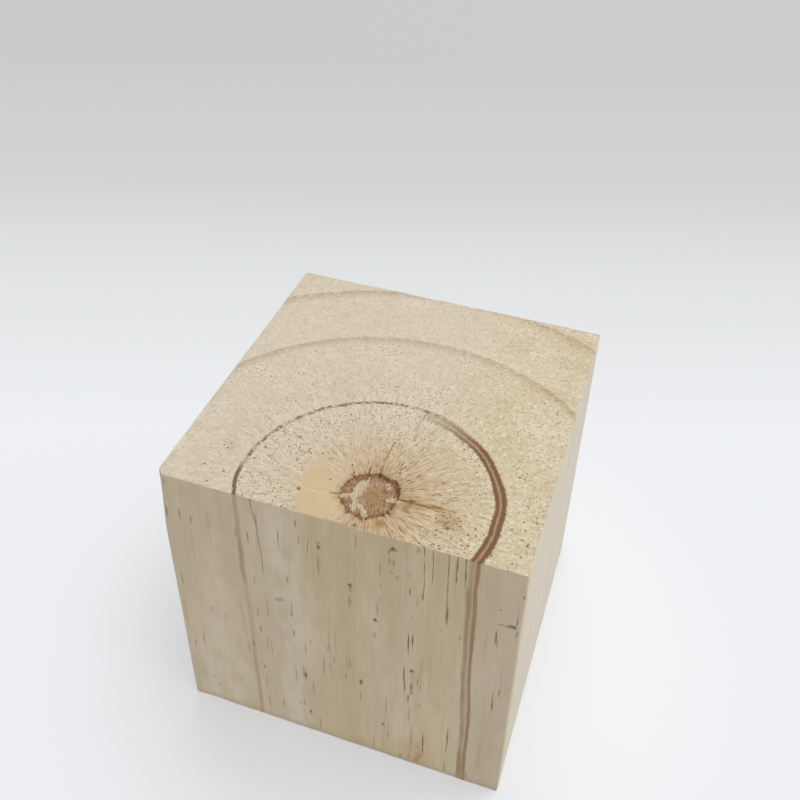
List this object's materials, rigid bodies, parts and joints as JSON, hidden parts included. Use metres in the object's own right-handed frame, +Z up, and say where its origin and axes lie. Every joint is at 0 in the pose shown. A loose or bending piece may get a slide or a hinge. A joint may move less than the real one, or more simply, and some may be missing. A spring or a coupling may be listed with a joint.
{
  "type": "wooden cube",
  "caption": "Solid softwood cube with planed sides and saw-cut end grain, holding the pith of the tree near its front face.",
  "frame": {"origin": "centre of the underside, on the surface that the cube rests on", "axes": "+Z up along the grain, -Y out of the planed front face nearest the pith, +X to the right of that face"},
  "size_m": [0.06, 0.06, 0.06],
  "materials": {
    "pine": "bare pine, planed sides and saw-cut ends, no coating"
  },
  "bodies": {
    "root": {"wooden_cube": "pine"}
  },
  "joints": []
}
